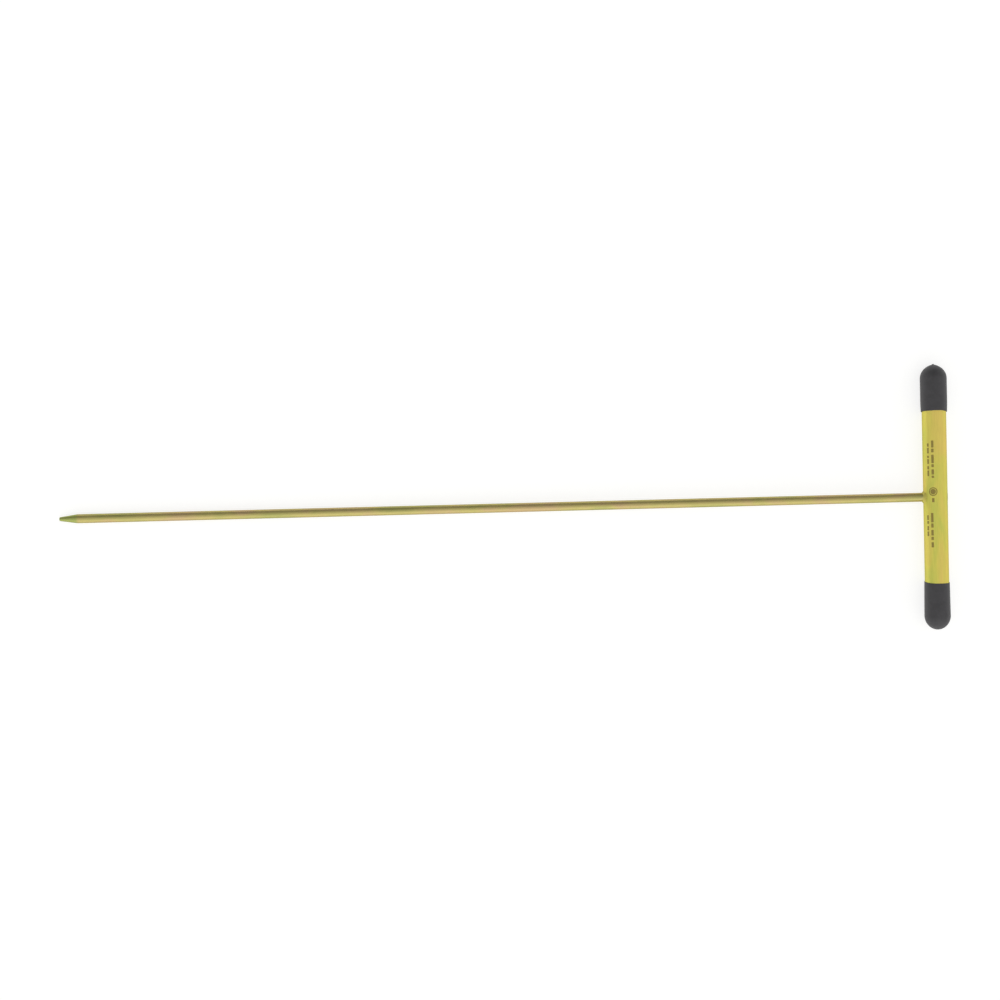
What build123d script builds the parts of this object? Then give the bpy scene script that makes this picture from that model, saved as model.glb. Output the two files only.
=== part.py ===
"""T-handled probe: a pointed steel rod welded through the middle of a capped tube handle.

The tool lies flat. The origin is where the rod's axis crosses the handle's axis, +X runs from the
point towards the handle, +Y runs along the handle to its right-hand end and +Z is up. Right is as
seen from behind the handle, looking along the rod to its point. All sizes are in millimetres.
"""

from build123d import *
from math import atan2, degrees
import os

INCH = 25.4

# ---- Driving dimensions -------------------------------------------------------------------
# Handle: a cut length of round steel tube
HANDLE_LENGTH = 10 * INCH
HANDLE_DIAMETER = 1 * INCH
HANDLE_WALL = 1.65
HANDLE_END_CHAMFER = 0.4

# Rod: round steel bar, ground to a blunt point, set through the middle of the handle
ROD_DIAMETER = 0.375 * INCH
ROD_REACH = 36 * INCH  # from the side of the handle tube to the rod's nose
ROD_SEAT_STEP = 0.21  # radial, turned off the rod where it goes through the handle
ROD_SEAT_RUNOUT = 0.3  # how far the turned seat runs on past the fillet weld
ROD_HEAD_INTO_WALL = 0.25  # how far the rod's head reaches into the far wall of the tube
ROD_HEAD_CHAMFER = 0.5
POINT_LENGTH = 19.0
NOSE_DIAMETER = 4.0
NOSE_ROUNDING = 1.0

# Welds: a small fillet round the rod, and a plug over its head, dressed almost flush
CROSS_HOLE_CLEARANCE = 0.05  # radial, the rod's seat in the tube's two cross holes
FILLET_WELD_LEG = 2.0
FILLET_WELD_ROUNDING = 1.2
PLUG_WELD_CROWN = 0.25  # how far the dressed plug stands proud of the tube

# End caps: dip-moulded soft vinyl, pushed over the tube's ends. Each ends in a hemisphere
CAP_LENGTH = 2 * INCH
CAP_FIT = 0.03  # radial, cap's bore over the tube
CAP_SEAT_GAP = 0.2  # from the tube's end to the start of the inner dome
CAP_END_WALL = 1.6
CAP_RIM_ROUNDING = 0.25

# Dipping leaves each cap a little different. The overhang is how far the outside of the skirt
# runs on past the tube's end before the dome starts, and the drip is left where the vinyl drained
RIGHT_CAP_WALL = 1.27
RIGHT_CAP_RIM_WALL = 1.05
RIGHT_CAP_OVERHANG = -1.2
RIGHT_CAP_DRIP_HEIGHT = 1.4
RIGHT_CAP_DRIP_RADIUS = 3.0
RIGHT_CAP_DRIP_BLEND = 3.0
LEFT_CAP_WALL = 1.05
LEFT_CAP_RIM_WALL = 0.7
LEFT_CAP_OVERHANG = 0.4

# ---- Derived sizes and places -------------------------------------------------------------
HANDLE_RADIUS = HANDLE_DIAMETER / 2
ROD_RADIUS = ROD_DIAMETER / 2
SEAT_RADIUS = ROD_RADIUS - ROD_SEAT_STEP
CROSS_HOLE_RADIUS = SEAT_RADIUS + CROSS_HOLE_CLEARANCE
NOSE_X = -HANDLE_RADIUS - ROD_REACH
WELD_CROWN_RADIUS = HANDLE_RADIUS + FILLET_WELD_LEG
SHOULDER_X = -WELD_CROWN_RADIUS - ROD_SEAT_RUNOUT  # where the rod's full diameter starts
ROD_HEAD_X = HANDLE_RADIUS - HANDLE_WALL + ROD_HEAD_INTO_WALL
TUBE_END_Y = HANDLE_LENGTH / 2
CAP_BORE_RADIUS = HANDLE_RADIUS + CAP_FIT
CAP_SEAT_Y = TUBE_END_Y + CAP_SEAT_GAP


def across_handle(radius, start_x, end_x):
    """A cylinder on the rod's axis, from start_x to end_x."""
    length = end_x - start_x
    return Pos(start_x + length / 2, 0, 0) * Rot(Y=90) * Cylinder(radius, length)


def along_handle(radius, length):
    """A cylinder on the handle's axis, centred on the origin."""
    return Rot(X=90) * Cylinder(radius, length)


def handle_tube():
    """The tube, with its ends deburred and one hole drilled through both walls."""
    tube = along_handle(HANDLE_RADIUS, HANDLE_LENGTH)
    tube = chamfer(tube.edges().filter_by(GeomType.CIRCLE), HANDLE_END_CHAMFER)
    bore = along_handle(HANDLE_RADIUS - HANDLE_WALL, 2 * HANDLE_LENGTH)
    cross_hole = across_handle(CROSS_HOLE_RADIUS, -HANDLE_DIAMETER, HANDLE_DIAMETER)
    return tube - bore - cross_hole


def probe_rod():
    """The bar, with a turned seat inside the handle and a long cone ground to a blunt nose."""
    outline = Polyline(
        (ROD_HEAD_X, 0),
        (ROD_HEAD_X, SEAT_RADIUS - ROD_HEAD_CHAMFER),
        (ROD_HEAD_X - ROD_HEAD_CHAMFER, SEAT_RADIUS),
        (SHOULDER_X, SEAT_RADIUS),
        (SHOULDER_X, ROD_RADIUS),
        (NOSE_X + POINT_LENGTH, ROD_RADIUS),
        (NOSE_X, NOSE_DIAMETER / 2),
        (NOSE_X, 0),
        close=True,
    )
    rod = revolve(make_face(outline), Axis.X)
    nose_edge = rod.edges().filter_by(GeomType.CIRCLE).sort_by(Axis.X)[0]
    return fillet(nose_edge, NOSE_ROUNDING)


def rod_fillet_weld():
    """The bead round the rod on the near side of the tube, with its outer corner rounded."""
    collar = across_handle(ROD_RADIUS + FILLET_WELD_LEG, -2 * WELD_CROWN_RADIUS, 0)
    collar &= along_handle(WELD_CROWN_RADIUS, HANDLE_DIAMETER)
    crown_edges = collar.edges().filter_by(lambda edge: edge.bounding_box().max.X < 0)
    collar = fillet(crown_edges, FILLET_WELD_ROUNDING)
    tube = along_handle(HANDLE_RADIUS, HANDLE_LENGTH)
    seat = across_handle(SEAT_RADIUS, SHOULDER_X, 0)
    return collar - tube - seat


def rod_plug_weld():
    """The plug that closes the far cross hole over the rod's head."""
    filling = across_handle(CROSS_HOLE_RADIUS, ROD_HEAD_X, HANDLE_DIAMETER)
    return filling & along_handle(HANDLE_RADIUS + PLUG_WELD_CROWN, HANDLE_DIAMETER)


def inner_dome(height):
    """The arc from the end of a cap's bore up to the axis, centred on the axis."""
    radius = (CAP_BORE_RADIUS**2 + height**2) / (2 * height)
    centre_y = CAP_SEAT_Y + height - radius
    start_angle = degrees(atan2(CAP_SEAT_Y - centre_y, CAP_BORE_RADIUS))
    return CenterArc((0, centre_y), radius, start_angle, 90 - start_angle)


def end_cap(wall, rim_wall, overhang, drip_height):
    """A cap on the +Y end: a skirt that thins to its rim, and a dome over the tube's end."""
    radius = CAP_BORE_RADIUS + wall
    dome_y = TUBE_END_Y + overhang
    apex_y = dome_y + radius
    rim_y = apex_y + drip_height - CAP_LENGTH
    rim_radius = CAP_BORE_RADIUS + rim_wall
    inner_apex_y = apex_y - CAP_END_WALL
    outline = [
        Line((CAP_BORE_RADIUS, rim_y), (rim_radius, rim_y)),
        Line((rim_radius, rim_y), (radius, dome_y)),
        CenterArc((0, dome_y), radius, 0, 90),
        Line((0, apex_y), (0, inner_apex_y)),
        inner_dome(inner_apex_y - CAP_SEAT_Y),
        Line((CAP_BORE_RADIUS, CAP_SEAT_Y), (CAP_BORE_RADIUS, rim_y)),
    ]
    cap = revolve(make_face(outline), Axis.Y)
    rim_edges = cap.edges().filter_by(Plane.XZ).sort_by(Axis.Y)[:2]
    return fillet(rim_edges, CAP_RIM_ROUNDING)


def right_end_cap():
    """The cap with a drip on its end."""
    cap = end_cap(RIGHT_CAP_WALL, RIGHT_CAP_RIM_WALL, RIGHT_CAP_OVERHANG, RIGHT_CAP_DRIP_HEIGHT)
    apex_y = TUBE_END_Y + RIGHT_CAP_OVERHANG + CAP_BORE_RADIUS + RIGHT_CAP_WALL
    drip_centre_y = apex_y + RIGHT_CAP_DRIP_HEIGHT - RIGHT_CAP_DRIP_RADIUS
    drip = Pos(0, drip_centre_y, 0) * Sphere(RIGHT_CAP_DRIP_RADIUS)
    above_wall = Pos(0, apex_y - CAP_END_WALL / 2, 0) * Rot(X=-90) * Cylinder(
        RIGHT_CAP_DRIP_RADIUS, CAP_LENGTH, align=(Align.CENTER, Align.CENTER, Align.MIN)
    )
    cap += drip & above_wall
    foot_edge = cap.edges().filter_by(Plane.XZ).sort_by(Axis.Y)[-1]
    return fillet(foot_edge, RIGHT_CAP_DRIP_BLEND)


def left_end_cap():
    """The cap with a plain end."""
    cap = end_cap(LEFT_CAP_WALL, LEFT_CAP_RIM_WALL, LEFT_CAP_OVERHANG, 0)
    return mirror(cap, Plane.XZ)


def main():
    """Build every piece and write each one to its own file."""
    pieces = {
        "handle_tube": handle_tube(),
        "probe_rod": probe_rod(),
        "rod_fillet_weld": rod_fillet_weld(),
        "rod_plug_weld": rod_plug_weld(),
        "right_end_cap": right_end_cap(),
        "left_end_cap": left_end_cap(),
    }
    os.makedirs("parts", exist_ok=True)
    for name, piece in pieces.items():
        export_step(piece, f"parts/{name}.step")


main()
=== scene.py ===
"""A T-handled probe rod: yellow-plated steel with dip-moulded vinyl caps on its handle.

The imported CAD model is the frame. Every piece here is turned or built around it, in metres, with
the rod along X (its point towards -X), the handle along Y and the origin where their axes cross.
"""

import math

import bmesh
import bpy
from bpy.props import FloatProperty, FloatVectorProperty, IntProperty, PointerProperty
from mathutils import Matrix, Vector, noise


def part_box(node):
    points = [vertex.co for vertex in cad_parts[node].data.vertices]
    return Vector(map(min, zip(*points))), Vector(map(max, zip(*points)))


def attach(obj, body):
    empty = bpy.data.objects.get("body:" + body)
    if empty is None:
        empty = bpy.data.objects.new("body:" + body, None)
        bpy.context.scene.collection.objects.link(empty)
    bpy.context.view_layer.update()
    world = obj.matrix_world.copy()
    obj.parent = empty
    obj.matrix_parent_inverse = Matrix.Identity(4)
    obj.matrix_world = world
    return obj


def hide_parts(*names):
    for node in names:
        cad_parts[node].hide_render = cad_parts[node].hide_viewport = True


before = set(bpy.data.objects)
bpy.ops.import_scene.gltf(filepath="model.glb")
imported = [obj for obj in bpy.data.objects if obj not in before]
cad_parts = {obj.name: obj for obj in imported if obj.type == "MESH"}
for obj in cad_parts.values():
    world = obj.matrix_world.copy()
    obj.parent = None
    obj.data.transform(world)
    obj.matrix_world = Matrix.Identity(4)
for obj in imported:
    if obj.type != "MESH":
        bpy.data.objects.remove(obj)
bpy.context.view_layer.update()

bl_info = {
    "name": "T-handled probe rod",
    "version": (1, 0, 0),
    "blender": (4, 5, 0),
    "location": "3D View > Sidebar > Probe Rod",
    "description": "Builds a plated probe rod with a capped T handle around its CAD frame",
    "category": "Object",
}

MM = 0.001

# ---- Places read from the CAD frame ---------------------------------------------------------
TUBE_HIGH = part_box("handle_tube")[1]
ROD_LOW, ROD_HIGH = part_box("probe_rod")
FILLET_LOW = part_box("rod_fillet_weld")[0]
PLUG_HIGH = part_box("rod_plug_weld")[1]
RIGHT_LOW, RIGHT_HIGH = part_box("right_end_cap")
LEFT_LOW, LEFT_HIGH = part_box("left_end_cap")

TUBE_RADIUS = TUBE_HIGH.x
TUBE_END = TUBE_HIGH.y
ROD_RADIUS = ROD_HIGH.y
HEAD_X = ROD_HIGH.x
NOSE_X = ROD_LOW.x
HOLE_CLEARANCE = 0.05 * MM  # radial, the rod's seat in the tube's two cross holes


def linear(code):
    """An sRGB hex colour as linear red, green and blue."""
    channels = [int(code[index:index + 2], 16) / 255 for index in (0, 2, 4)]
    return [c / 12.92 if c <= 0.04045 else ((c + 0.055) / 1.055) ** 2.4 for c in channels]


# ---- Settings that a user would change ------------------------------------------------------
def length(name, description, default):
    """A setting in metres, shown in the scene's units."""
    return FloatProperty(name=name, description=description, default=default, min=0.0,
                         subtype="DISTANCE", unit="LENGTH", precision=5)


def colour(name, description, code):
    """A colour setting from an sRGB hex value."""
    return FloatVectorProperty(name=name, description=description, default=linear(code),
                               subtype="COLOR", size=3, min=0.0, max=1.0)


class HandleSettings(bpy.types.PropertyGroup):
    """Sizes and plate colours of the handle tube."""
    diameter: length("Diameter", "Outside diameter of the tube", 2 * TUBE_RADIUS)
    length: length("Length", "Cut length of the tube", 2 * TUBE_END)
    wall: length("Wall", "Wall thickness of the tube", 1.65 * MM)
    end_chamfer: length("End chamfer", "Deburred edge on each end", 0.4 * MM)
    seam_height: length("Seam height", "How far the seam weld stands up in the bore", 0.25 * MM)
    plate: colour("Plate", "Main colour of the yellow plate", "DBD166")
    plate_green: colour("Green cast", "Where the chromate film is thinner", "CDCE64")
    plate_straw: colour("Straw cast", "Where the chromate film is thicker", "E1CB6C")


class RodSettings(bpy.types.PropertyGroup):
    """Sizes and plate colours of the rod."""
    diameter: length("Diameter", "Diameter of the bar", 2 * ROD_RADIUS)
    point_length: length("Point length", "Length of the ground cone", 19 * MM)
    nose_diameter: length("Nose diameter", "Diameter of the blunt nose", 4 * MM)
    nose_rounding: length("Nose rounding", "Rounding of the nose's edge", 1 * MM)
    seat_step: length("Seat step", "Radial step down to the turned seat in the handle", 0.21 * MM)
    plate: colour("Plate", "Main colour of the yellow plate", "BCB070")
    plate_green: colour("Green cast", "Where the chromate film is thinner", "ADAA68")
    plate_rose: colour("Rose cast", "Where the chromate film is thicker", "C0A87A")
    plate_ground: colour("Ground point", "Plate over the ground surface of the point", "A2AA62")


class WeldSettings(bpy.types.PropertyGroup):
    """Shape and plate colour of the two welds."""
    leg: length("Leg", "Leg of the fillet round the rod", 2 * MM)
    ripples: IntProperty(name="Ripples", description="Ripples round the fillet", default=26,
                         min=4, max=80)
    ripple_depth: length("Ripple depth", "Depth between two ripples", 0.10 * MM)
    plug_spread: length("Plug spread", "How far the plug runs out past its hole", 0.9 * MM)
    plate: colour("Plate", "Colour of the plate over weld metal", "C2B860")


class CapSettings(bpy.types.PropertyGroup):
    """Shape and colour of the two vinyl end caps."""
    fit: length("Fit", "Radial gap between a cap's bore and the tube", 0.03 * MM)
    seat_gap: length("Seat gap", "From the tube's end to the cap's inner dome", 0.2 * MM)
    end_wall: length("End wall", "Wall at the middle of the dome", 1.6 * MM)
    rim_rounding: length("Rim rounding", "Rounding of the rim's edges", 0.3 * MM)
    right_slant: length("Right rim slant", "How far out of square the right rim is cut", 1.4 * MM)
    left_slant: length("Left rim slant", "How far out of square the left rim is cut", 1.0 * MM)
    drip_height: length("Drip height", "Height of the right cap's drained end", 0.7 * MM)
    drip_spread: length("Drip spread", "Radius over which the drained end dies away", 5.3 * MM)
    nib_height: length("Nib height", "Height of the last drop on the drained end", 0.9 * MM)
    vinyl: colour("Vinyl", "Colour of the vinyl", "302F32")


class MarkSettings(bpy.types.PropertyGroup):
    """The plain printed marks on the handle."""
    ink_thickness: length("Ink thickness", "Thickness of the print", 0.03 * MM)
    bar_height: length("Bar height", "Height of the bars across the handle", 2.6 * MM)
    ring_diameter: length("Ring diameter", "Outside diameter of the ring", 9.2 * MM)
    ink: colour("Ink", "Colour of the ink over the plate", "8C7C32")


class StageSettings(bpy.types.PropertyGroup):
    """Camera, floor and light."""
    lens: FloatProperty(name="Lens", description="Focal length in millimetres on a 36 mm frame",
                        default=70.0, min=10.0)
    sky: FloatProperty(name="Sky", description="Brightness of the tent of light", default=0.84,
                       min=0.0)
    floor: colour("Floor", "Colour of the shooting table", "A0A09E")
    floor_glow: FloatProperty(name="Floor glow", description="Light through the white table",
                              default=0.74, min=0.0)


# ---- Outlines and turned meshes -------------------------------------------------------------
def softened(corners, steps=4, closed=False):
    """Points through (along, radius, softening) corners, each rounded over its softening."""
    points = []
    last = len(corners) - 1
    for index, (along, radius, softening) in enumerate(corners):
        corner = Vector((along, radius))
        at_end = not closed and index in (0, last)
        if softening == 0 or at_end:
            points.append(corner)
            continue
        before = Vector(corners[index - 1][:2])
        after = Vector(corners[(index + 1) % len(corners)][:2])
        start = corner + (before - corner).normalized() * softening
        end = corner + (after - corner).normalized() * softening
        for step in range(steps + 1):
            share = step / steps
            points.append(start.lerp(corner, share).lerp(corner.lerp(end, share), share))
    return points


def divided(points, longest, closed=False):
    """The points with more between them, so that no run is longer than longest."""
    runs = list(zip(points, points[1:] + points[:1] if closed else points[1:]))
    result = []
    for start, end in runs:
        count = max(1, math.ceil((end - start).length / longest))
        result += [start.lerp(end, step / count) for step in range(count)]
    return result if closed else result + [points[-1]]


def about_rod(along, radius, angle):
    """A point about the rod's axis: angle 0 is up, and a quarter turn is towards +Y."""
    return Vector((along, radius * math.sin(angle), radius * math.cos(angle)))


def about_handle(along, radius, angle):
    """A point about the handle's axis: angle 0 is up, and a quarter turn is towards +X."""
    return Vector((radius * math.sin(angle), along, radius * math.cos(angle)))


def cross_hole_radius(context):
    """The radius drilled through both walls of the tube for the rod's seat."""
    return ROD_RADIUS - context.scene.probe_rod.seat_step + HOLE_CLEARANCE


def turned(outline, place, around, closed=False):
    """A bmesh of the outline turned once about its axis, with this many sides around.

    A point on the axis is one vertex.
    """
    on_axis = 1e-7
    mesh = bmesh.new()
    rings = []
    for along, radius in outline:
        if radius < on_axis:
            rings.append([mesh.verts.new(place(along, 0, 0))])
            continue
        turns = [math.tau * step / around for step in range(around)]
        rings.append([mesh.verts.new(place(along, radius, turn)) for turn in turns])
    pairs = list(zip(rings, rings[1:]))
    if closed:
        pairs.append((rings[-1], rings[0]))
    for first, second in pairs:
        for step in range(around):
            corners = [
                first[step % len(first)],
                first[(step + 1) % len(first)],
                second[(step + 1) % len(second)],
                second[step % len(second)],
            ]
            mesh.faces.new(list(dict.fromkeys(corners)))
    bmesh.ops.recalc_face_normals(mesh, faces=mesh.faces)
    return mesh


def new_object(name, mesh):
    """An object in the scene from a bmesh, smooth but for its sharp edges."""
    sharp_angle = math.radians(35)
    data = bpy.data.meshes.new(name)
    mesh.to_mesh(data)
    mesh.free()
    data.shade_smooth()
    data.set_sharp_from_angle(angle=sharp_angle)
    piece = bpy.data.objects.new(name, data)
    bpy.context.scene.collection.objects.link(piece)
    return piece


def finish_piece(piece, material, body, slot, *nodes):
    """Gives the piece its material, and joins it to the frame."""
    piece.data.materials.append(material)
    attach(piece, body)
    if nodes:
        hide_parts(*nodes)
    return piece


def cut_away(piece, cutter):
    """Takes the cutter's shape out of the piece, and deletes the cutter."""
    modifier = piece.modifiers.new("cut", "BOOLEAN")
    modifier.operation = "DIFFERENCE"
    modifier.solver = "EXACT"
    modifier.object = cutter
    graph = bpy.context.evaluated_depsgraph_get()
    data = bpy.data.meshes.new_from_object(piece.evaluated_get(graph))
    piece.modifiers.clear()
    piece.data = data
    bpy.data.objects.remove(cutter)


# ---- Materials ------------------------------------------------------------------------------
def add_node(tree, kind, inputs=None, stops=None, **settings):
    """Adds a node with its settings, colour stops, input values and links from other sockets."""
    node = tree.nodes.new(kind)
    for name, value in settings.items():
        setattr(node, name, value)
    for index, (position, shade) in enumerate(stops or []):
        elements = node.color_ramp.elements
        element = elements[index] if index < len(elements) else elements.new(position)
        element.position = position
        element.color = (*shade, 1)
    for name, value in (inputs or {}).items():
        if isinstance(value, bpy.types.NodeSocket):
            tree.links.new(value, node.inputs[name])
        else:
            node.inputs[name].default_value = value
    return node


def new_material(name):
    """An empty node material with its tree."""
    material = bpy.data.materials.new(name)
    material.use_nodes = True
    material.node_tree.nodes.clear()
    return material, material.node_tree


def zinc_plate(name, casts, lengthwise, patch, line, roughness, line_depth, ground=None):
    """Zinc plate passivated to a yellow chromate film, over drawn steel.

    To the eye it is a soft metal with an oily play of colour: straw, yellow and green run into
    each other where the film is thicker or thinner, and the die's fine lines show through along
    the length. casts are three colours from thin film to thick, lengthwise is the axis of the
    drawing, patch is the size of the colour patches, and line the spacing of the die lines.
    ground is the colour past a ground end, and the distance along X where it starts.
    """
    material, tree = new_material(name)
    along = Vector([0.06 if axis == lengthwise else 1.0 for axis in "XYZ"])
    slow = Vector([0.35 if axis == lengthwise else 1.0 for axis in "XYZ"])
    place = add_node(tree, "ShaderNodeTexCoord").outputs["Object"]
    film_place = add_node(tree, "ShaderNodeMapping", {"Vector": place, "Scale": slow})
    line_place = add_node(tree, "ShaderNodeMapping", {"Vector": place, "Scale": along})
    film = add_node(tree, "ShaderNodeTexNoise", {
        "Vector": film_place.outputs["Vector"], "Scale": 1 / patch, "Detail": 3.0,
        "Roughness": 0.5, "Distortion": 0.6})
    cast = add_node(tree, "ShaderNodeValToRGB", {"Fac": film.outputs["Fac"]}, stops=[
        (0.36, casts[0]), (0.50, casts[1]), (0.66, casts[2])])
    lines = add_node(tree, "ShaderNodeTexNoise", {
        "Vector": line_place.outputs["Vector"], "Scale": 1 / line, "Detail": 2.0,
        "Roughness": 0.6})
    shade = add_node(tree, "ShaderNodeMapRange", {
        "Value": lines.outputs["Fac"], "From Min": 0.3, "From Max": 0.7,
        "To Min": 0.93, "To Max": 1.05})
    tint = cast.outputs["Color"]
    if ground:
        shade_ground, start = ground
        blend = 1.5 * MM
        split = add_node(tree, "ShaderNodeSeparateXYZ", {"Vector": place})
        past = add_node(tree, "ShaderNodeMapRange", {
            "Value": split.outputs["X"], "From Min": start + blend,
            "From Max": start - blend})
        tint = add_node(tree, "ShaderNodeMix", {
            0: past.outputs["Result"], 6: tint, 7: (*shade_ground, 1)},
            data_type="RGBA").outputs[2]
    toned = add_node(tree, "ShaderNodeMix", {0: 1.0, 6: tint, 7: shade.outputs["Result"]},
                     data_type="RGBA", blend_type="MULTIPLY")
    gloss = add_node(tree, "ShaderNodeMapRange", {
        "Value": lines.outputs["Fac"], "From Min": 0.3, "From Max": 0.7,
        "To Min": roughness - 0.05, "To Max": roughness + 0.07})
    # Plating grain is a few microns across, so it is drawn this coarse to show at all
    grain_size = 0.5 * MM
    grain = add_node(tree, "ShaderNodeTexNoise", {
        "Vector": place, "Scale": 1 / grain_size, "Detail": 2.0})
    grain_bump = add_node(tree, "ShaderNodeBump", {
        "Height": grain.outputs["Fac"], "Strength": 0.12, "Distance": 0.02 * MM})
    line_bump = add_node(tree, "ShaderNodeBump", {
        "Height": lines.outputs["Fac"], "Strength": 0.5, "Distance": line_depth,
        "Normal": grain_bump.outputs["Normal"]})
    shader = add_node(tree, "ShaderNodeBsdfPrincipled", {
        "Base Color": toned.outputs[2], "Metallic": 1.0, "Roughness": gloss.outputs["Result"],
        "Specular Tint": (0.62, 0.58, 0.50, 1.0), "Normal": line_bump.outputs["Normal"]})
    add_node(tree, "ShaderNodeOutputMaterial", {"Surface": shader.outputs["BSDF"]})
    return material


def dipped_vinyl(name, shade):
    """Black plasticised PVC, dip-moulded on a polished pin and left to drain.

    It gives a soft dark grey with a low, broad sheen: slightly pebbled like an orange skin, with
    faint runs along the cap where it drained, and paler dusty rubs where it is handled.
    """
    dust_patch = 9 * MM
    run_width = 3.5 * MM
    pebble_size = 0.9 * MM
    material, tree = new_material(name)
    place = add_node(tree, "ShaderNodeTexCoord").outputs["Object"]
    dust = add_node(tree, "ShaderNodeTexNoise", {
        "Vector": place, "Scale": 1 / dust_patch, "Detail": 4.0, "Roughness": 0.65})
    rubbed = [min(1.0, channel * 1.5 + 0.004) for channel in shade]
    tone = add_node(tree, "ShaderNodeValToRGB", {"Fac": dust.outputs["Fac"]}, stops=[
        (0.40, shade), (0.74, rubbed)])
    gloss = add_node(tree, "ShaderNodeMapRange", {
        "Value": dust.outputs["Fac"], "From Min": 0.35, "From Max": 0.7,
        "To Min": 0.46, "To Max": 0.62})
    drained = add_node(tree, "ShaderNodeMapping", {"Vector": place, "Scale": (1.0, 0.12, 1.0)})
    runs = add_node(tree, "ShaderNodeTexNoise", {
        "Vector": drained.outputs["Vector"], "Scale": 1 / run_width, "Detail": 1.0})
    pebble = add_node(tree, "ShaderNodeTexNoise", {
        "Vector": place, "Scale": 1 / pebble_size, "Detail": 2.0})
    run_bump = add_node(tree, "ShaderNodeBump", {
        "Height": runs.outputs["Fac"], "Strength": 0.35, "Distance": 0.25 * MM})
    pebble_bump = add_node(tree, "ShaderNodeBump", {
        "Height": pebble.outputs["Fac"], "Strength": 0.25, "Distance": 0.06 * MM,
        "Normal": run_bump.outputs["Normal"]})
    shader = add_node(tree, "ShaderNodeBsdfPrincipled", {
        "Base Color": tone.outputs["Color"], "Roughness": gloss.outputs["Result"],
        "IOR": 1.53, "Normal": pebble_bump.outputs["Normal"]})
    add_node(tree, "ShaderNodeOutputMaterial", {"Surface": shader.outputs["BSDF"]})
    return material


def printed_ink(name, shade, plate):
    """Pad-printed ink, thin and partly rubbed through to the plate.

    It reads as a dull brown mark in which the plate shows in a few small flecks.
    """
    fleck_size = 0.5 * MM
    material, tree = new_material(name)
    place = add_node(tree, "ShaderNodeTexCoord").outputs["Object"]
    flecks = add_node(tree, "ShaderNodeTexNoise", {
        "Vector": place, "Scale": 1 / fleck_size, "Detail": 2.0, "Roughness": 0.5})
    worn = add_node(tree, "ShaderNodeMapRange", {
        "Value": flecks.outputs["Fac"], "From Min": 0.62, "From Max": 0.80,
        "To Min": 0.0, "To Max": 1.0}, clamp=True)
    tone = add_node(tree, "ShaderNodeValToRGB", {"Fac": worn.outputs["Result"]}, stops=[
        (0.0, shade), (1.0, plate)])
    gloss = add_node(tree, "ShaderNodeMapRange", {
        "Value": worn.outputs["Result"], "To Min": 0.55, "To Max": 0.42})
    shader = add_node(tree, "ShaderNodeBsdfPrincipled", {
        "Base Color": tone.outputs["Color"], "Metallic": worn.outputs["Result"],
        "Roughness": gloss.outputs["Result"]})
    add_node(tree, "ShaderNodeOutputMaterial", {"Surface": shader.outputs["BSDF"]})
    return material


def acrylic_table(name, shade, glow):
    """Opal acrylic of a shooting table, lit from below: plain white, and shadows stay faint."""
    material, tree = new_material(name)
    place = add_node(tree, "ShaderNodeTexCoord").outputs["Object"]
    haze_patch = 25 * MM
    haze = add_node(tree, "ShaderNodeTexNoise", {"Vector": place, "Scale": 1 / haze_patch})
    gloss = add_node(tree, "ShaderNodeMapRange", {
        "Value": haze.outputs["Fac"], "To Min": 0.7, "To Max": 0.85})
    shader = add_node(tree, "ShaderNodeBsdfPrincipled", {
        "Base Color": (*shade, 1), "Roughness": gloss.outputs["Result"],
        "Emission Color": (1.0, 1.0, 1.0, 1.0), "Emission Strength": glow})
    add_node(tree, "ShaderNodeOutputMaterial", {"Surface": shader.outputs["BSDF"]})
    return material


# ---- Pieces ---------------------------------------------------------------------------------
class PROBE_ROD_OT_build_handle(bpy.types.Operator):
    """Build the cross-drilled steel tube of the handle"""
    bl_idname = "probe_rod.build_handle"
    bl_label = "Handle tube"

    def execute(self, context):
        settings = context.scene.probe_handle
        radius = settings.diameter / 2
        end = settings.length / 2
        bore = radius - settings.wall
        chamfer = settings.end_chamfer
        soft = 0.12 * MM  # rounding of every edge
        section = [
            (-end, bore, soft), (-end, radius - chamfer, soft), (-end + chamfer, radius, soft),
            (end - chamfer, radius, soft), (end, radius - chamfer, soft), (end, bore, soft),
        ]
        outline = divided(softened(section, closed=True), 3 * MM, closed=True)
        seam_angle = math.radians(205)
        seam_width = 0.9 * MM
        seam_ripple = 4 * MM

        def place(along, distance, angle):
            """On the bore, the tube's own seam weld stands up as a low ridge."""
            if abs(distance - bore) < 1e-6 and abs(along) < end - 2 * soft:
                across = (angle - seam_angle) * bore / seam_width
                ripple = 0.9 + 0.2 * noise.noise(Vector((along / seam_ripple, 0, 0)))
                distance -= settings.seam_height * math.exp(-across * across) * ripple
            return about_handle(along, distance, angle)

        tube = new_object("handle_tube_steel", turned(outline, place, around=160, closed=True))
        hole = cross_hole_radius(context)
        reach = 2 * radius
        drill = [Vector(p) for p in ((-reach, 0), (-reach, hole), (reach, hole), (reach, 0))]
        cut_away(tube, new_object("drill", turned(drill, about_rod, around=96)))
        tube.modifiers.new("even shading", "WEIGHTED_NORMAL").keep_sharp = True
        casts = [settings.plate_green, settings.plate, settings.plate_straw]
        plate = zinc_plate("zinc_plate_on_drawn_tube", casts, "Y", patch=22 * MM, line=0.9 * MM,
                           roughness=0.42, line_depth=0.012 * MM)
        finish_piece(tube, plate, "probe", "plated_tube", "handle_tube")
        return {"FINISHED"}


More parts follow.
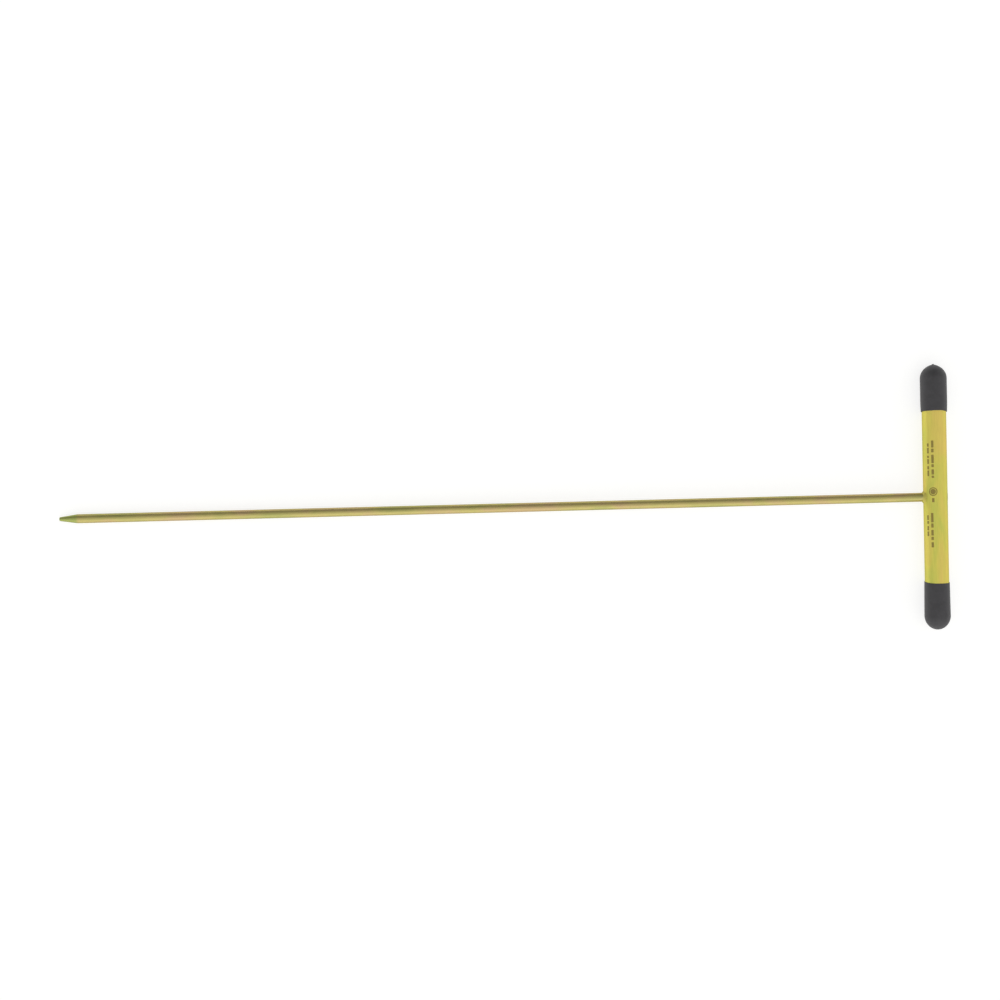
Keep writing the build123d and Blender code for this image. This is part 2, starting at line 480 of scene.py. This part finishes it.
class PROBE_ROD_OT_build_rod(bpy.types.Operator):
    """Build the bar with its ground point and the turned seat inside the handle"""
    bl_idname = "probe_rod.build_rod"
    bl_label = "Rod"

    def execute(self, context):
        settings = context.scene.probe_rod
        radius = settings.diameter / 2
        seat = radius - settings.seat_step
        seat_runout = 0.3 * MM
        shoulder = FILLET_LOW.x - seat_runout
        head_chamfer = 0.5 * MM
        cone_start = NOSE_X + settings.point_length
        outline = divided(softened([
            (HEAD_X, 0, 0),
            (HEAD_X, seat - head_chamfer, 0.1 * MM),
            (HEAD_X - head_chamfer, seat, 0.1 * MM),
            (shoulder, seat, 0.05 * MM),
            (shoulder, radius, 0.08 * MM),
            (cone_start, radius, 0.7 * MM),
            (NOSE_X, settings.nose_diameter / 2, settings.nose_rounding),
            (NOSE_X, 0, 0),
        ], steps=6), 8 * MM)
        flat_depth = 0.07 * MM
        flat_length = 5 * MM
        flats_fade_in = 6 * MM

        def place(along, distance, angle):
            """The cone keeps the low flats that the grinding belt leaves round it."""
            if along < cone_start and distance > 0:
                share = min(1.0, (cone_start - along) / flats_fade_in)
                wave = noise.noise(Vector((along / flat_length, 1.9 * math.cos(angle),
                                           1.9 * math.sin(angle))))
                distance -= flat_depth * share * (0.5 + wave)
            return about_rod(along, distance, angle)

        rod = new_object("probe_rod_steel", turned(outline, place, around=96))
        rod.modifiers.new("even shading", "WEIGHTED_NORMAL").keep_sharp = True
        casts = [settings.plate_green, settings.plate, settings.plate_rose]
        plate = zinc_plate("zinc_plate_on_bright_drawn_bar", casts, "X", patch=16 * MM,
                           line=0.6 * MM, roughness=0.26, line_depth=0.01 * MM,
                           ground=(settings.plate_ground, cone_start))
        finish_piece(rod, plate, "probe", "plated_bar", "probe_rod")
        return {"FINISHED"}


class PROBE_ROD_OT_build_welds(bpy.types.Operator):
    """Build the rippled fillet round the rod and the dressed plug over its head"""
    bl_idname = "probe_rod.build_welds"
    bl_label = "Welds"

    def execute(self, context):
        settings = context.scene.probe_welds
        seat = ROD_RADIUS - context.scene.probe_rod.seat_step
        casts = [[factor * channel for channel in settings.plate] for factor in (0.86, 1.0, 1.1)]
        plate = zinc_plate("zinc_plate_on_weld_bead", casts, "X", patch=3 * MM, line=0.7 * MM,
                           roughness=0.4, line_depth=0.004 * MM)
        fillet = new_object("rod_fillet_bead", self.fillet(settings, seat))
        finish_piece(fillet, plate, "probe", "plated_weld", "rod_fillet_weld")
        plug = new_object("rod_plug_bead", self.plug(settings, cross_hole_radius(context)))
        finish_piece(plug, plate, "probe", "plated_weld", "rod_plug_weld")
        return {"FINISHED"}

    def fillet(self, settings, seat):
        """The bead from the rod to the near side of the tube, in crescent ripples."""
        inset = 0.05 * MM  # keeps the bead inside the CAD's
        crown = -FILLET_LOW.x - inset
        toe = ROD_RADIUS + settings.leg - 2 * inset
        toe_wander = 0.12 * MM
        bulge_height = 0.12 * MM
        foot_depth = 0.02 * MM
        root_depth = 0.3 * MM
        share_steps = 12

        def place(share, distance, angle):
            """share runs 0 to 1 over the face from rod to tube, and on to 2 underneath."""
            wander = noise.noise(Vector((2 * math.cos(angle), 2 * math.sin(angle), 3)))
            outer = toe + toe_wander * wander
            top = Vector((-math.sqrt(crown ** 2 - (seat * math.cos(angle)) ** 2), seat))
            foot_x = -math.sqrt(TUBE_RADIUS ** 2 - (outer * math.cos(angle)) ** 2)
            foot = Vector((foot_x + foot_depth, outer))
            if share > 1:
                inner_x = -math.sqrt(TUBE_RADIUS ** 2 - (seat * math.cos(angle)) ** 2)
                point = foot.lerp(Vector((inner_x + root_depth, seat)), share - 1)
                return about_rod(point.x, point.y, angle)
            outward = Vector((-1, 1)).normalized()
            bulge = top.lerp(foot, 0.5) + outward * bulge_height
            point = top.lerp(bulge, share).lerp(bulge.lerp(foot, share), share)
            turn = settings.ripples * angle / 2 + 1.4 * (2 * share - 1) ** 2
            valley = (1 - abs(math.sin(turn))) ** 1.5 * math.sin(math.pi * min(1, share + 0.02))
            point -= outward * settings.ripple_depth * valley
            return about_rod(point.x, max(point.y, seat), angle)

        outline = [Vector((step / share_steps, 1)) for step in range(share_steps + 1)]
        outline += [Vector((1.5, 1)), Vector((2.0, 1))]
        return turned(outline, place, around=settings.ripples * 10, closed=True)

    def plug(self, settings, hole):
        """The plug over the rod's head, ground almost flush with the far side of the tube."""
        crown = PLUG_HIGH.x - TUBE_RADIUS - 0.02 * MM
        spread = hole + settings.plug_spread
        lip = -0.03 * MM
        hole_edge = -0.05 * MM
        root = -1.6 * MM
        steps = 8
        heights = [(crown * (1 - (step / steps) ** 2.6), spread * step / steps)
                   for step in range(steps)]
        outline = heights + [(lip, spread), (hole_edge, hole), (root, hole), (root, 0)]

        def place(height, distance, angle):
            """The height is above the tube's surface, and its root lies on the rod's head."""
            if distance > 0.5 * hole and height > (lip + hole_edge) / 2:
                edge = noise.noise(Vector((1.7 * math.cos(angle), 1.7 * math.sin(angle), 0.4)))
                distance *= 1 + 0.07 * edge
            surface = math.sqrt(TUBE_RADIUS ** 2 - (distance * math.cos(angle)) ** 2)
            along = surface + height
            if height < root / 2:
                along = HEAD_X + 0.01 * MM
            return about_rod(along, distance, angle)

        return turned([Vector(p) for p in outline], place, around=96)


class PROBE_ROD_OT_build_caps(bpy.types.Operator):
    """Build the two dip-moulded vinyl caps"""
    bl_idname = "probe_rod.build_caps"
    bl_label = "End caps"

    def execute(self, context):
        settings = context.scene.probe_caps
        vinyl = dipped_vinyl("black_dip_moulded_vinyl", list(settings.vinyl))
        right = self.cap(settings, "right_cap_vinyl", 1, RIGHT_HIGH,
                         skirt=[(0.0, 0.28), (2.5, 0.20), (7.0, 0.05), (12.0, 0.0)],
                         dome_depth=14.0 * MM, drip=settings.drip_height,
                         slant=settings.right_slant, low_side=1.85, rim=RIGHT_LOW.y)
        finish_piece(right, vinyl, "right_cap", "vinyl", "right_end_cap")
        left = self.cap(settings, "left_cap_vinyl", -1, Vector((LEFT_HIGH.x, -LEFT_LOW.y, 0)),
                        skirt=[(0.0, 0.56), (2.8, 0.46), (7.0, 0.38), (19.0, 0.22)],
                        dome_depth=15.2 * MM, drip=0.0,
                        slant=settings.left_slant, low_side=1.15, rim=-LEFT_HIGH.y)
        finish_piece(left, vinyl, "left_cap", "vinyl", "left_end_cap")
        return {"FINISHED"}

    def cap(self, settings, name, side, high, skirt, dome_depth, drip, slant, low_side, rim):
        """A cap on one end.

        skirt gives pairs in mm: the distance from the rim, and how much smaller the radius is
        there than at the dome. low_side turns the slant of the rim round the tube.
        """
        radius = high.x
        bore = TUBE_RADIUS + settings.fit
        seat = TUBE_END + settings.seat_gap
        nib = settings.nib_height if drip else 0.0
        nib_radius = 0.9 * MM
        apex = high.y - drip - nib
        dome = apex - dome_depth
        inner_apex = apex - settings.end_wall

        def drained(distance):
            """How far the drained vinyl stands off the dome at this distance from the axis."""
            lobe = drip * math.exp(-(distance / settings.drip_spread) ** 2)
            return lobe + nib * math.exp(-(distance / nib_radius) ** 2)

        steps = 40
        outline = []
        for step in range(steps + 1):
            angle = math.pi / 2 * (1 - step / steps)
            distance = radius * math.cos(angle)
            outline.append(Vector((dome + dome_depth * math.sin(angle) + drained(distance),
                                   max(0.0, distance))))
        outline[0].y = 0.0
        corners = [(rim + off * MM, radius - under * MM, 0.8 * MM)
                   for off, under in reversed(skirt[1:])]
        edge = radius - skirt[0][1] * MM
        corners = [(dome, radius, 0)] + corners + [(rim, edge, settings.rim_rounding),
                                                   (rim, bore, 0.15 * MM), (seat, bore, 0)]
        outline += divided(softened(corners, steps=5)[1:], 2 * MM)
        inner_steps = 20
        for step in range(1, inner_steps + 1):
            angle = math.pi / 2 * step / inner_steps
            outline.append(Vector((seat + (inner_apex - seat) * math.sin(angle),
                                   max(0.0, bore * math.cos(angle)))))
        outline[-1].y = 0.0
        wall_wander = 0.05 * MM
        wander_length = 14 * MM

        def place(along, distance, angle):
            """The skirt is cut a little out of square, and its wall is uneven as it drained."""
            share = min(1.0, max(0.0, (along - rim) / (dome - rim)))
            wave = 0.35 * noise.noise(Vector((math.cos(angle), math.sin(angle), side * 5)))
            shift = slant * (math.sin(angle + low_side) - wave) * (1 - share) ** 2
            if distance > bore + 0.1 * MM:
                drift = Vector((1.3 * math.cos(angle), 1.3 * math.sin(angle),
                                along / wander_length))
                distance -= wall_wander * (0.5 + noise.noise(drift))
            return about_handle(side * (along + shift), distance, angle)

        return new_object(name, turned(outline, place, around=144))


class PROBE_ROD_OT_build_marks(bpy.types.Operator):
    """Print plain bars and a ring on the handle, with no lettering"""
    bl_idname = "probe_rod.build_marks"
    bl_label = "Printed marks"

    def execute(self, context):
        settings = context.scene.probe_marks
        thickness = settings.ink_thickness
        tall = settings.bar_height
        low = 0.8 * settings.bar_height
        first = -5.3 * MM
        second = first - 5.0 * MM
        skew = -1.4 * MM
        # Each run has its place round the tube, where it starts and ends along the handle in
        # mm, how tall its bars are, and how long they are in turn, in mm
        runs = [
            (first, 60.0, 20.5, tall, (7.5, 4.0, 9.0, 3.0, 5.5)),
            (first + skew, -16.5, -53.0, tall, (10.0, 4.5, 6.0, 3.5)),
            (second, 57.0, 22.0, low, (3.5, 6.0, 2.5, 5.0)),
            (second + skew, -19.0, -43.0, low, (5.0, 3.0, 4.5)),
        ]
        gaps = (2.4, 1.1)
        mesh = bmesh.new()
        for across, start, end, height, lengths in runs:
            at = start
            index = 0
            while at > end:
                long = min(lengths[index % len(lengths)], at - end)
                self.bar(mesh, across, at * MM, (at - long) * MM, height, thickness)
                index += 1
                at -= long + gaps[index % 2]
        emblem_y = 6.0 * MM
        disc_radius = 2.9 * MM
        self.ring(mesh, first, emblem_y, settings.ring_diameter / 2, 1.1 * MM, thickness)
        self.ring(mesh, first, emblem_y, disc_radius, disc_radius, thickness)
        self.bar(mesh, first, -0.8 * MM, -5.2 * MM, tall, thickness)
        bmesh.ops.recalc_face_normals(mesh, faces=mesh.faces)
        marks = new_object("handle_printed_marks", mesh)
        ink = printed_ink("pad_printed_ink_on_plate", list(settings.ink),
                          list(context.scene.probe_handle.plate))
        finish_piece(marks, ink, "probe", "plated_tube")
        return {"FINISHED"}

    def on_tube(self, across, along, lift):
        """The place on the tube this far round it from the top, and this far above it."""
        return about_handle(along, TUBE_RADIUS + lift, across / TUBE_RADIUS)

    def slab(self, mesh, grid, thickness, wrap=False):
        """A thin slab over a grid of (across, along) points, bent to the tube and sunk in it."""
        sunk = -0.01 * MM
        top = [[mesh.verts.new(self.on_tube(*p, thickness)) for p in row] for row in grid]
        low = [[mesh.verts.new(self.on_tube(*p, sunk)) for p in row] for row in grid]
        rows = len(grid)
        columns = len(grid[0])
        for row in range(rows if wrap else rows - 1):
            after = (row + 1) % rows
            for column in range(columns - 1):
                beside = column + 1
                mesh.faces.new([top[row][column], top[row][beside],
                                top[after][beside], top[after][column]])
                mesh.faces.new([low[row][column], low[after][column],
                                low[after][beside], low[row][beside]])
            for column in (0, columns - 1):
                mesh.faces.new([top[row][column], top[after][column],
                                low[after][column], low[row][column]])
        if not wrap:
            for row in (0, rows - 1):
                for column in range(columns - 1):
                    mesh.faces.new([top[row][column], low[row][column],
                                    low[row][column + 1], top[row][column + 1]])

    def bar(self, mesh, across, start, end, height, thickness):
        """A bar along the handle with rounded corners."""
        corner = min(0.35 * MM, height / 3, (start - end) / 3)
        offsets = [-0.5, -0.42, -0.3, 0.0, 0.3, 0.42, 0.5]
        grid = []
        for share in offsets:
            off = share * height
            inset = max(0.0, abs(off) - (height / 2 - corner))
            cut = corner - math.sqrt(max(0.0, corner ** 2 - inset ** 2))
            grid.append([(across + off, start - cut), (across + off, end + cut)])
        self.slab(mesh, grid, thickness)

    def ring(self, mesh, across, along, radius, width, thickness):
        """A ring, or a disc where the width is the whole radius."""
        inner = max(radius - width, 0.02 * MM)
        sides = 48
        grid = []
        for step in range(sides):
            angle = math.tau * step / sides
            grid.append([
                (across + (inner + (radius - inner) * share) * math.cos(angle),
                 along + (inner + (radius - inner) * share) * math.sin(angle))
                for share in (0, 0.34, 0.67, 1)])
        self.slab(mesh, grid, thickness, wrap=True)


# ---- Stage ----------------------------------------------------------------------------------
class PROBE_ROD_OT_build_stage(bpy.types.Operator):
    """Set the white table, the tent of soft light and the camera"""
    bl_idname = "probe_rod.build_stage"
    bl_label = "Stage"

    def execute(self, context):
        settings = context.scene.probe_stage
        self.floor(settings, context.scene.probe_rod.point_length)
        self.sky(context.scene, settings)
        self.camera(context.scene, settings)
        context.scene.view_settings.view_transform = "Standard"
        return {"FINISHED"}

    def floor(self, settings, point_length):
        """The table touches both caps and the start of the point, where the tool rests."""
        cap_contact = TUBE_END - 2 * MM
        gap = 0.03 * MM
        contacts = [
            Vector((0, cap_contact, RIGHT_LOW.z)),
            Vector((0, -cap_contact, LEFT_LOW.z)),
            Vector((NOSE_X + point_length, 0, -ROD_RADIUS)),
        ]
        normal = (contacts[1] - contacts[0]).cross(contacts[2] - contacts[0]).normalized()
        if normal.z < 0:
            normal.negate()
        half_side = 14.0
        mesh = bmesh.new()
        bmesh.ops.create_grid(mesh, x_segments=8, y_segments=8, size=half_side)
        floor = new_object("shooting_table", mesh)
        turn = Vector((0, 0, 1)).rotation_difference(normal).to_matrix().to_4x4()
        drop = Matrix.Translation(contacts[0] - normal * gap)
        floor.matrix_world = drop @ turn
        floor.data.materials.append(
            acrylic_table("opal_acrylic_lit_from_below", settings.floor, settings.floor_glow))

    def sky(self, scene, settings):
        """A tent of light: brighter past the handle's left end, and dimmer past its right end
        and past the rod's nose. Only the camera sees the white backdrop."""
        world = bpy.data.worlds.new("light_tent")
        scene.world = world
        world.use_nodes = True
        tree = world.node_tree
        tree.nodes.clear()
        towards = add_node(tree, "ShaderNodeTexCoord").outputs["Generated"]
        level = settings.sky
        least = 0.05
        lobes = [
            ((0.12, -0.98, 0.15), 0.25, 1.0, 0.50),
            ((-0.05, 0.90, 0.42), 0.35, 0.96, -0.43),
            ((-0.98, 0.05, 0.12), 0.80, 1.00, -0.15),
        ]
        for centre, low, high, strength in lobes:
            lobe = self.lobe(tree, towards, centre, low, high, strength)
            level = add_node(tree, "ShaderNodeMath", {0: level, 1: lobe},
                             operation="ADD").outputs[0]
        level = add_node(tree, "ShaderNodeMath", {0: level, 1: least},
                         operation="MAXIMUM").outputs[0]
        tent = add_node(tree, "ShaderNodeBackground", {
            "Color": (1.0, 0.995, 0.985, 1.0), "Strength": level})
        backdrop = add_node(tree, "ShaderNodeBackground", {
            "Color": (1.0, 1.0, 1.0, 1.0), "Strength": 1.0})
        seen = add_node(tree, "ShaderNodeLightPath").outputs["Is Camera Ray"]
        mixed = add_node(tree, "ShaderNodeMixShader", {
            0: seen, 1: tent.outputs[0], 2: backdrop.outputs[0]})
        add_node(tree, "ShaderNodeOutputWorld", {"Surface": mixed.outputs[0]})

    def lobe(self, tree, towards, centre, low, high, strength):
        """More or less light round one direction. It fades in as the cosine of the angle to
        that direction goes from low to high."""
        direction = Vector(centre).normalized()
        near = add_node(tree, "ShaderNodeVectorMath", {0: towards, 1: direction},
                        operation="DOT_PRODUCT")
        faded = add_node(tree, "ShaderNodeMapRange", {
            "Value": near.outputs["Value"], "From Min": low, "From Max": high,
            "To Min": 0.0, "To Max": strength}, interpolation_type="SMOOTHSTEP")
        return faded.outputs["Result"]

    def camera(self, scene, settings):
        """Almost straight down on the tool, a little to the handle's right."""
        data = bpy.data.cameras.new("camera")
        data.lens = settings.lens
        data.sensor_width = 36.0
        data.clip_end = 50.0
        turns = (-1.602, -0.967, -1.43)  # degrees about X, Y and Z, from straight down
        camera = bpy.data.objects.new("camera", data)
        camera.location = (-0.4956, 0.0668, 2.0559)
        camera.rotation_euler = [math.radians(turn) for turn in turns]
        scene.collection.objects.link(camera)
        scene.camera = camera


# ---- Panel and registration -----------------------------------------------------------------
OPERATORS = (
    PROBE_ROD_OT_build_stage,
    PROBE_ROD_OT_build_handle,
    PROBE_ROD_OT_build_rod,
    PROBE_ROD_OT_build_welds,
    PROBE_ROD_OT_build_caps,
    PROBE_ROD_OT_build_marks,
)


class PROBE_ROD_PT_build(bpy.types.Panel):
    """The steps that build the probe rod"""
    bl_idname = "PROBE_ROD_PT_build"
    bl_label = "Probe rod"
    bl_space_type = "VIEW_3D"
    bl_region_type = "UI"
    bl_category = "Probe Rod"

    def draw(self, context):
        for operator in OPERATORS:
            self.layout.operator(operator.bl_idname)
        for name in SETTINGS:
            settings = getattr(context.scene, name)
            box = self.layout.box()
            box.label(text=settings.bl_rna.name)
            for key in settings.bl_rna.properties.keys():
                if key not in ("rna_type", "name"):
                    box.prop(settings, key)


SETTINGS = {
    "probe_handle": HandleSettings,
    "probe_rod": RodSettings,
    "probe_welds": WeldSettings,
    "probe_caps": CapSettings,
    "probe_marks": MarkSettings,
    "probe_stage": StageSettings,
}
CLASSES = (*SETTINGS.values(), *OPERATORS, PROBE_ROD_PT_build)


def register():
    for cls in CLASSES:
        bpy.utils.register_class(cls)
    for name, cls in SETTINGS.items():
        setattr(bpy.types.Scene, name, PointerProperty(type=cls))


def unregister():
    for name in SETTINGS:
        delattr(bpy.types.Scene, name)
    for cls in reversed(CLASSES):
        bpy.utils.unregister_class(cls)


def main():
    """Registers the add-on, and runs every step."""
    register()
    bpy.ops.probe_rod.build_stage()
    bpy.ops.probe_rod.build_handle()
    bpy.ops.probe_rod.build_rod()
    bpy.ops.probe_rod.build_welds()
    bpy.ops.probe_rod.build_caps()
    bpy.ops.probe_rod.build_marks()


if __name__ == "__main__":
    main()
